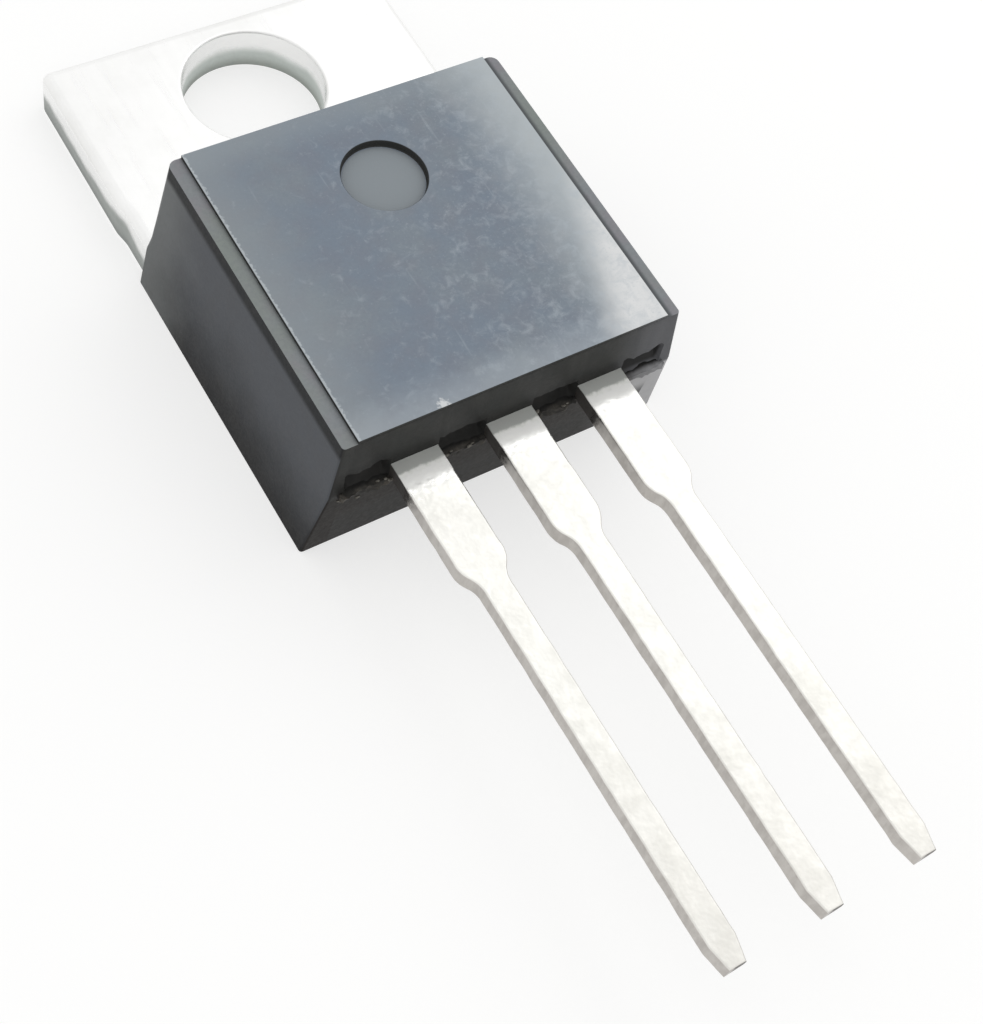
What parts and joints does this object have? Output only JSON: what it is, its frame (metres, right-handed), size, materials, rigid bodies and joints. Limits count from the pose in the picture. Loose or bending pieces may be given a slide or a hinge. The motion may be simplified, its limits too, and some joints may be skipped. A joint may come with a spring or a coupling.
{
  "type": "voltage regulator",
  "caption": "Three-lead voltage regulator in a flat power package: black moulded body on a plated copper tab with a mounting hole, straight leads.",
  "frame": {"origin": "centre of the mounting hole on the flat back face of the tab", "axes": "+Z out of the marked face, +Y towards the free end of the tab, leads run to -Y, lead 1 on the -X side; it lies on its back"},
  "size_m": [0.0102, 0.0283, 0.0046],
  "materials": {
    "moulding_epoxy": "fine matt moulded epoxy",
    "plated_copper": "satin tin over nickel",
    "tinned_copper": "matt tin plate",
    "silicon": "polished",
    "solder": "dull",
    "aluminium_wire": "drawn"
  },
  "bodies": {
    "root": {"moulded_body": "moulding_epoxy", "heatsink_and_input_lead": "plated_copper", "adjust_lead": "tinned_copper", "output_lead": "tinned_copper", "silicon_die": "silicon", "die_solder": "solder", "adjust_wire": "aluminium_wire", "output_wire": "aluminium_wire"}
  },
  "joints": []
}
